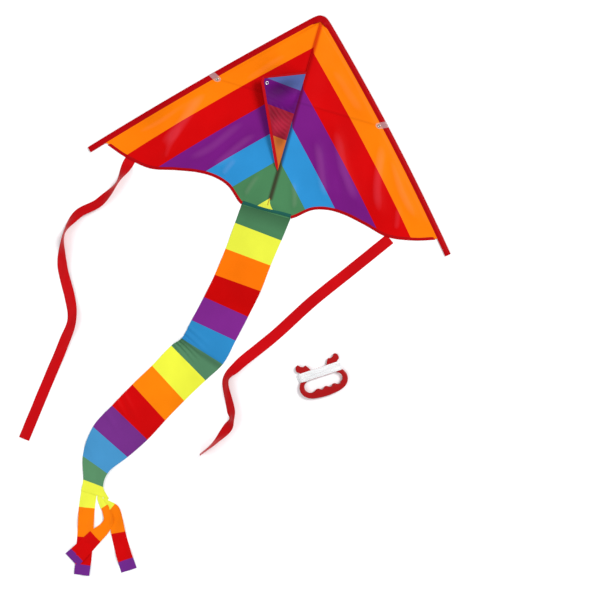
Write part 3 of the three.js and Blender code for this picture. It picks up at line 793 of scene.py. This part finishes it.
def add_center_seam():
    y = np.linspace(-18, -508, 150)
    z = cloth_height(np.zeros_like(y), y, y - TAIL_CORNER[1])
    line = put(np.column_stack([np.zeros_like(y), y, z]))
    ends = np.column_stack([np.ones_like(y), smooth((-y - 17) / 6) * smooth((509 + y) / 9) * 0.96 + 0.04])
    values = {"stripe": sail_stripe(0 * y, y), "along": -y}
    welt = sweep("center_seam", line, SEAM_RIDGE, STRIPED_SAIL, scale=ends, values=values)
    finish_piece(welt, "frame", "striped_cloth")
    step = np.arange(12)
    tack = np.column_stack([2.4 * (step % 2) - 1.8, -510 - 1.2 * step, np.zeros(12)])
    tack[:, 2] = cloth_height(tack[:, 0], tack[:, 1], tack[:, 1] - TAIL_CORNER[1]) + 0.35
    add_stitches("spine_bar_tack", put(tack), BROWN_THREAD, "frame", "striped_cloth", 1.3, 1.6, 0.45)


# --- leading edges, nose and trailing edges
def add_edge_sleeve(side):
    t = np.linspace(EDGE_START, 1, 170)
    line = put(lifted(leading_edge(side, t), EDGE_HEIGHT))
    section = tape_section(EDGE_WIDTH, 1.5, EDGE_BULGE)
    end = smooth((1 - t) / 0.02) * 0.55 + 0.45
    scale = np.column_stack([np.ones_like(t), end])
    sleeve = sweep(side + "_sleeve_tape", line, section, BINDING, scale=scale)
    finish_piece(sleeve, side + "_wing", "red_binding", side + "_edge_sleeve")
    path = leading_edge(side, np.linspace(EDGE_START + 0.004, 0.99, 200), out=-6.2)
    path = put(lifted(path, EDGE_HEIGHT + 0.85))
    add_stitches(side + "_sleeve_stitches", path, RED_THREAD, side + "_wing")


def add_hem(side):
    edge = trailing_edge(side, np.linspace(0.006, 0.988, 190))
    inwards = into_sail(side, edge)
    rise = 0.12 * np.sin(np.linspace(0, 60, len(edge)))
    line = put(np.column_stack([edge + inwards * HEM_WIDTH / 2, SAIL_LOW + 0.1 + rise]))
    hem = sweep(side + "_hem_tape", line, tape_section(HEM_WIDTH, 1.4, 0.15), BINDING)
    finish_piece(hem, side + "_wing", "red_binding", side + "_hem")
    path = put(lifted(edge + inwards * (HEM_WIDTH - 1.6), SAIL_LOW + 0.95))
    add_stitches(side + "_hem_stitches", path, RED_THREAD, side + "_wing")


def add_nose(side):
    """Half of the patch that folds over the nose, onto one sleeve."""
    sign, stop = SIDES[side], [EDGE_START + 0.004]
    half = EDGE_WIDTH / 2 + 0.05
    outer_corner, inner_corner = (leading_edge(side, stop, out)[0] for out in (half, -half))
    t = np.linspace(0, 1, 24)[:, None]
    outer = cubic((0, NOSE_TOP), [((sign * 10, NOSE_TOP), (sign * 14, 0), outer_corner)], len(t))
    inner = mix(np.array([0, NOSE_INNER]), inner_corner, t)
    across = np.linspace(0, 1, 16)[None]
    plan = mix(outer[:, None], inner[:, None], across[..., None])
    x, y = plan[..., 0], plan[..., 1]
    rim = 1 - np.clip(1 - (2 * across - 1) ** 6, 0, 1)
    z = np.maximum(cloth_height(x, y, 400.0) + 0.5, EDGE_HEIGHT + 1.9) - rim * 1.6
    bulge = EDGE_BULGE * bell((0.5 - across) / 0.2)
    z = mix(z, EDGE_HEIGHT + 0.3 + bulge - 0.6 * rim, smooth((t - 0.35) / 0.6))
    surface, values = put(np.dstack([x, y, z])), {"along": -y, "across": np.abs(x)}
    patch = shell("nose_patch_" + side, surface, NOSE_TAPE, values, NOSE_THICKNESS)
    finish_piece(patch, wing_bend(side), "red_binding", "nose_patch")
    seam = 0.84
    height = [np.interp(seam, across[0], row) + 0.55 for row in z]
    path = put(np.column_stack([mix(outer, inner, seam), height]))
    add_stitches("nose_stitches_" + side, path, RED_THREAD, wing_bend(side))


# --- spreader connectors
def add_connector(side):
    """A clear strap folded round the leading edge, with the spreader's socket below it."""
    sign = SIDES[side]
    near = leading_edge(side, np.linspace(0, 1, 4001))
    k = int(np.argmin(np.abs(near[:, 1] - SPREADER_Y)))
    edge_way = unit(near[k + 1] - near[k])
    inwards = np.array([-sign * math.cos(STRAP_SLANT), -math.sin(STRAP_SLANT)])
    aside = np.array([inwards[1], -inwards[0]]) * sign
    lean = (edge_way @ inwards) / (edge_way @ aside)
    rivet_at = np.array([edge_inset(side, RIVET_IN), SPREADER_Y])
    square = np.array([-edge_way[1], edge_way[0]])
    to_rivet = ((rivet_at - near[k]) @ square) / (inwards @ square)
    back = 3.2 - EDGE_WIDTH / 2 / abs(inwards @ square)
    fold = np.linspace(pi / 2, 3 * pi / 2, 14)[1:-1]
    top = np.linspace(to_rivet + STRAP_REACH - RIVET_IN, back, 34)
    top = np.column_stack([top, np.full(34, STRAP_TOP)])
    rise = (STRAP_TOP - STRAP_FOOT) / 2
    bend = np.column_stack([back + (rise + 0.6) * np.cos(fold), STRAP_FOOT + rise + rise * np.sin(fold)])
    low = np.linspace(back, to_rivet + SOCKET_END - RIVET_IN, 40)
    low = np.column_stack([low, STRAP_FOOT + 0.7 * smooth((low - 9) / 4)])
    path = evenly(np.vstack([top, bend, low]), 90)
    run = np.linspace(0, run_along(path)[-1], 90)
    half = STRAP_WIDTH / 2
    round_end = np.sqrt(np.clip(1 - (np.clip(half - run, 0, half) / half) ** 2, 0.03, 1))
    off = np.linspace(-1, 1, 13)[None] * half * round_end[:, None]
    past = path[:, :1] - to_rivet
    turned = smooth(past / 12) * (path[:, 1:] < 3)
    middle = rivet_at + mix(inwards, np.array([-sign, 0.0]), turned) * past
    aside = unit(mix(aside, np.array([0.0, 1.0]), turned)) + mix(lean, 0.0, turned) * inwards
    plan = middle[:, None] + off[..., None] * aside[:, None]
    surface = put(np.dstack([plan, np.broadcast_to(path[:, 1:], off.shape)]))
    strap = shell(side + "_strap", surface, VINYL, {"along": run[:, None], "across": off}, 0.6)
    finish_piece(strap, side + "_wing", "clear_vinyl", side + "_connector")
    reach = np.linspace(edge_inset(side, SPREADER_STOP - 1.2), edge_inset(side, SOCKET_END), 24)
    line = put([(x, SPREADER_Y, SPREADER_HEIGHT) for x in reach])
    socket = sweep(side + "_socket", line, round_section(2.45, 24), VINYL)
    finish_piece(socket, side + "_wing", "clear_vinyl")
    rivet = lathe(side + "_rivet", ring_profile(1.6, 2.3, 4.2, 0.1, 7.6), (*rivet_at, 0), NICKEL)
    finish_piece(rivet, side + "_wing", "rivet_metal", side + "_connector_rivet")


def ring_profile(bore, barrel, flange, low, high):
    """A hollow rivet whose two ends are rolled outwards."""
    roll = np.linspace(0, pi, 9)
    middle, wide = (bore + flange) / 2, (flange - bore) / 2
    top = np.column_stack([middle + wide * np.cos(roll), high - 0.75 + 0.75 * np.sin(roll)])
    foot = np.column_stack([middle - wide * np.cos(roll), low + 0.6 - 0.6 * np.sin(roll)])
    neck = np.array([[barrel, low + 0.75], [barrel, high - 0.9]])
    return np.vstack([foot, neck, top])


# --- keel
KEEL_FACE = np.array([math.sin(KEEL_TILT), 0, math.cos(KEEL_TILT)])  # straight off the keel's upper face


def keel_points(out, y, above=0.0):
    """Points on the folded keel: out from its root, along the spine, and off its face."""
    x = -out * math.cos(KEEL_TILT) + above * math.sin(KEEL_TILT)
    z = KEEL_HEIGHT + out * math.sin(KEEL_TILT) + above * math.cos(KEEL_TILT)
    return np.stack(np.broadcast_arrays(x, y, z), axis=-1)


def keel_ripple(out, y):
    """Cross wrinkles, with fine ones where the cloth narrows."""
    phase = (y - 0.55 * out) / 1.9 + 1.8 * np.sin(out / 16) + np.sin(y / 17)
    fine = 0.8 * np.sin(phase) * smooth((y + 352) / 26) * smooth((-258 - y) / 12)
    wide = 1.5 * np.sin((y + 0.5 * out) / 12 + 1.5) + 1.1 * np.sin(out / 13 + y / 40)
    return (fine + wide) * smooth(out / 14)


def add_keel_tape(name, plan, section, material, node, scale=None):
    """A tape along places (out, y) on the keel."""
    points = put(keel_points(plan[:, 0], plan[:, 1]))
    across = unit(np.cross(KEEL_FACE, unit(np.gradient(points, axis=0))))
    tape = sweep(name, points, section, material, side=across, scale=scale)
    return finish_piece(tape, "keel", "red_binding", node)


def add_keel():
    root_top, root_end = KEEL_ROOT
    rows, columns = 150, 44
    u = np.linspace(0, 1, columns)[None]
    outer = evenly(np.array([KEEL_POINT, KEEL_HEEL, (0.5, root_end)], float) - [4, 0], rows)
    reach = np.maximum(outer[:, :1], 0.4)
    inner_y = np.linspace(root_top - 2, root_end + 4, rows)[:, None]
    out = mix(0.2, reach, u)
    y = mix(inner_y, outer[:, 1:], u)
    from_top = np.linspace(0, 1, rows)[:, None]
    above = keel_ripple(out, y) * smooth((reach - out) / 12) * smooth(from_top / 0.09)
    values = {"band": -y + 0.05 * out, "along": -y, "across": out, "fold": above}
    panel = shell("keel_panel", put(keel_points(out, y, above)), KEEL_CLOTH, values)
    finish_piece(panel, "keel", "striped_cloth", "keel")

    count = 130
    bound = evenly(np.array([KEEL_POINT, KEEL_HEEL, (4.5, root_end + 3)], float), count)
    inwards = left_of(unit(np.gradient(bound, axis=0)))
    inwards *= -np.sign(inwards[:, :1])
    taper = np.column_stack([np.minimum(1, 0.3 + np.linspace(12, 0, count)), np.ones(count)])
    section = tape_section(8, 1.5, 0.1)
    tape = add_keel_tape("keel_tape", bound + inwards * 4, section, BRIGHT_BINDING, "keel_binding", taper)
    path = put(keel_points(*(bound + inwards * 6.6)[: count - 10].T, 0.9))
    add_stitches("keel_stitches", path, RED_THREAD, "keel")

    upper = evenly(np.array([(0.5, root_top), KEEL_POINT], float) - [0, 3], 60)
    hem = add_keel_tape("keel_upper_tape", upper, tape_section(6, 1.3, 0.1), BINDING, "keel_top_hem")
    place = keel_points(*KEEL_EYELET)
    eyelet = lathe("keel_ring", ring_profile(2.1, 2.9, 5, -1.2, 1.3), place, NICKEL, tilt=KEEL_TILT)
    finish_piece(eyelet, "keel", "rivet_metal", "keel_eyelet")


# --- tail
TAIL_BEND = (put((0, -534, 1)), put((0, -543, 1)))  # two points either side of the tail's root, passed with the tail's cloth, which stays fixed where it stands
# Pleats where the tail turns: station along the tail, height and width in stations, from the left border.
PLEATS = [
    (5.35, 4, 0.1), (5.65, 5.5, 0.1), (5.95, 6.5, 0.09), (6.2, 7, 0.1), (6.5, 7, 0.1), (6.8, 6, 0.12),
    (9.45, 3.5, 0.1), (9.8, 3, 0.08), (10.35, 3, 0.1), (11.6, 3, 0.2),
]


def tail_height(station, share):
    """Height of the tail's cloth: soft swells, and pleats that fade from the left border."""
    swell = 1.3 * np.sin(station * 2.3 + 1.4 * share) * np.sin(pi * share) ** 2
    swell = swell + 0.8 * np.sin(station * 5.1 + 3.5 * share + 0.7)
    past = station - 0.5 * share
    pleats = sum(height * bell((past - at) / width) for at, height, width in PLEATS)
    pleats = pleats * np.clip(1 - share / 0.62, 0, 1) ** 0.8
    fold = 4.5 * bell((station - 12.2) / 0.8) * smooth((share - 0.55) / 0.45)
    away = smooth((station - 0.15) / 0.7)
    return CLOTH_HEIGHT + away * (1.0 + np.maximum(swell, -0.9) + pleats + fold)


def add_tail():
    stations = np.concatenate([[-0.12], np.linspace(0, TAIL_BANDS, 330)])
    share = np.linspace(0, 1, 34)[None]
    t = np.clip(stations / TAIL_BANDS, 0, 1)
    left, right = (spline([row[k : k + 2] for row in TAIL], t) for k in (0, 2))
    left[0, 1] = right[0, 1] = -535
    plan = mix(left[:, None], right[:, None], share[..., None])
    z = tail_height(stations[:, None], share)
    z[0] = 0.55
    run = run_along(plan[:, len(share[0]) // 2])[:, None]
    width = np.linalg.norm(right - left, axis=1)[:, None]
    values = {"band": np.maximum(stations, 0)[:, None], "along": run, "across": width * share}
    tail = shell("tail_cloth", put(np.dstack([plan, z])), STRIPED_TAIL, values)
    finish_piece(tail, ("frame", "tail", *TAIL_BEND), "striped_cloth", "tail")
    x = np.linspace(-67, 67, 80)
    y = SEAM_Y + 1.6 * smooth(x / 50) + 0.4 * np.sin(x / 13)
    z = cloth_height(x, y, y - TAIL_CORNER[1]) + 0.9
    tape = sweep("tail_tape", put(np.column_stack([x, y, z])), tape_section(9, 1.1, 0.2), TEAL_TAPE)
    finish_piece(tape, "frame", "seam_tape", "tail_seam")
    path = put(np.column_stack([x, y - 2.6, z + 0.5]))
    add_stitches("tail_stitches", path, TEAL_THREAD, "frame", "seam_tape")


def add_streamer(side):
    t = np.linspace(0, 1, 140)
    middle = spline([place[:3] for place in STREAMERS[side]], t)
    width = spline([(k, place[3]) for k, place in enumerate(STREAMERS[side])], t)[:, 1]
    middle = np.vstack([middle[:1] + [0, 6, 0], middle])
    width = np.concatenate([width[:1] + 4, width])
    run = run_along(middle)
    aside = lifted(left_of(unit(np.gradient(middle[:, :2], axis=0))), 0)
    across = np.linspace(-0.5, 0.5, 12)[None]
    surface = middle[:, None] + aside[:, None] * (across * width[:, None])[..., None]
    phase = {"left": 0.4, "middle": 2.2, "right": 4.0}[side]
    gone = (run / run[-1])[:, None]
    wave = 1.2 * np.sin(gone * 21 + phase) + 0.9 * np.cos(pi * across) * np.sin(gone * 9 + phase)
    lift = smooth(gone * 6) * (1.2 + wave + 1.4 * np.sin(gone * 13 + 6 * across))
    surface[..., 2] += np.maximum(lift, -0.3)
    band = np.interp(run, [0, *STREAMER_CHANGES[side], run[-1]], range(5))[:, None]
    values = {"band": band, "along": run[:, None], "across": width[:, None] * across}
    strip = shell("streamer_" + side, put(surface), STRIPED_STREAMER, values)
    finish_piece(strip, "tail", "striped_cloth", "tail_streamer_" + side)


# --- ribbons
def add_ribbon(side):
    points = RIBBONS[side]
    half = RIBBON_WIDTH[side] / 2
    t = np.linspace(0, 1, 330)
    route = spline([(x, y) for x, y, _ in points], t)
    roll = np.radians(np.maximum(spline([(k, p[2]) for k, p in enumerate(points)], t)[:, 1], 0))
    middle = np.column_stack([route, CLOTH_HEIGHT + half * np.sin(roll)])
    hem_end = unit(middle[:1] - middle[1:2])
    middle = np.vstack([middle[:1] + 16 * hem_end, middle[:1] + 8 * hem_end, middle])
    roll = np.concatenate([[0, 0], roll])
    way = unit(np.gradient(middle, axis=0))
    level = unit(lifted(left_of(way), 0))
    aside = level * np.cos(roll)[:, None] + UP * np.sin(roll)[:, None]
    across = np.linspace(-1, 1, 12)[None]
    surface = middle[:, None] + aside[:, None] * (across * half)[..., None]
    run = run_along(middle)[:, None]
    curl = 1.3 * (1 - across**2) * np.sin(run / 31) + 0.6 * np.sin(run / 12 + 3 * across)
    curl = curl * smooth((run - 20) / 40) * 0.8
    surface = surface + unit(np.cross(way, aside))[:, None] * curl[..., None]
    surface[..., 2] = np.maximum(surface[..., 2], 0.35)
    values = {"along": run, "across": half * across}
    ribbon = shell("ribbon_strip_" + side, put(surface), RIBBON, values)
    start, end = put(middle[1]), put(middle[3])
    finish_piece(ribbon, (side + "_wing", side + "_ribbon", start, end), "red_ribbon", "ribbon_" + side)


# --- reel
FINGERS = (24, 1, -22)  # x of the ridges between the finger hollows


def cubic(start, hooks, count=14):
    """Points along a chain of cubic curves: each hook is two control points and an end."""
    points = [np.array(start, float)]
    t = np.linspace(0, 1, count)[1:, None]
    for hook in hooks:
        one, two, end = (np.array(place) for place in hook)
        curve = (1 - t) ** 3 * points[-1] + 3 * t * (1 - t) ** 2 * one
        points.extend(curve + 3 * t**2 * (1 - t) * two + t**3 * end)
    return np.array(points)


def grip_outline():
    outer = [((-72, -16), (-68, -37), (-50, -47)), ((-30, -58.5), (30, -58.5), (50, -47))]
    outer.append(((68, -37), (72, -16), (59, -1)))
    inner = [((56, -9), (56, -26), (44, -30))]
    for x in FINGERS:
        inner.append(((x + 17, -36), (x + 13, -36), (x + 9, -33.5)))
        inner.append(((x + 4, -28.5), (x - 2, -28.5), (x - 5, -32)))
    inner += [((-34, -36.5), (-44, -35), (-48, -30)), ((-56, -22), (-54, -8), (-42, -4.5))]
    return np.array([*cubic((-59, -1), outer), (47, -1), *cubic((42, -4.5), inner), (-47, -1)])


HORN = [(52, 24), (60, 31), (58, 42), (51, 46), (45, 40), (38, 37), (32, 39), (27, 33), (22, 23)]


def plate_outline():
    right = spline(HORN, np.linspace(0, 1, 70))
    left = right[::-1] * [-1, 1]
    return np.vstack([[(-44, -2.2), (44, -2.2), (49, -8), (52, -8)], right, left, [(-52, -8), (-49, -8)]])


def add_slab(name, outline, depth, rounding):
    """A flat moulding of the reel with rounded rims; its outline runs anticlockwise."""
    inwards = left_of(unit(np.roll(outline, -1, axis=0) - np.roll(outline, 1, axis=0)))
    turn = np.linspace(0, pi / 2, 6)
    rim = [(rounding * (1 - math.sin(a)), rounding * (1 - math.cos(a)) - depth / 2) for a in turn]
    rim += [(inset, -height) for inset, height in rim[::-1]]
    points = [(x, y, z) for inset, z in rim for x, y in outline + inset * inwards]
    count = len(outline)
    faces = grid_faces(len(rim), count, around=True)
    for face in tessellate_polygon([[Vector(p) for p in points[:count]]]):
        a, b, c = (Vector(points[k][:2]) for k in face)
        up = face if (b - a).cross(c - a) > 0 else face[::-1]
        faces += [up[::-1], [k + (len(rim) - 1) * count for k in up]]
    piece = add_mesh(name, put(reel_points(points)), faces, PLASTIC, sharp=35)
    finish_piece(piece, "reel", "reel_plastic", "reel_handle")


add_spine()
add_center_seam()
add_keel()
add_tail()
for kite_side in SIDES:
    add_sail(kite_side)
    add_spreader(kite_side)
    add_edge_sleeve(kite_side)
    add_hem(kite_side)
    add_nose(kite_side)
    add_connector(kite_side)
    add_ribbon(kite_side)
for streamer_side in STREAMERS:
    add_streamer(streamer_side)
add_slab("reel_grip", grip_outline(), GRIP_DEPTH, 3)
add_slab("reel_plate", plate_outline(), PLATE_DEPTH, 1.2)


# --- floor and light
FLOOR_REACH = 12.0  # metres


def add_floor():
    nodes = Nodes("floor", Roughness=0.9, Specular_IOR_Level=0.1)
    nodes.shade("Base Color", nodes.tinted(3 * (0.96,), nodes.spread(nodes.noise(3.0), 0.99, 1.01)))
    corners = [(x * FLOOR_REACH, y * FLOOR_REACH, 0) for x, y in ((-1, -1), (1, -1), (1, 1), (-1, 1))]
    add_mesh("floor", corners, [(0, 1, 2, 3)], nodes.material)


def add_light(name, place, size, power):
    light = bpy.data.lights.new(name, "AREA")
    light.shape = "DISK"
    light.size = size
    light.energy = power
    lamp = link(name, light)
    lamp.location = place
    lamp.rotation_euler = (-Vector(place)).to_track_quat("-Z", "Y").to_euler()


add_floor()
add_light("key", (3.0, 3.4, 5.0), 2.8, 330)
add_light("fill", (-4.2, -1.5, 4.6), 4.0, 120)
add_light("front", (1.5, -5.0, 4.0), 4.0, 90)
world = bpy.data.worlds.new("studio")
bpy.context.scene.world = world
world.use_nodes = True
sky = world.node_tree.nodes["Background"].inputs
sky["Color"].default_value = (0.93, 0.95, 1.0, 1)
sky["Strength"].default_value = 0.4
bpy.context.scene.view_settings.view_transform = "Standard"
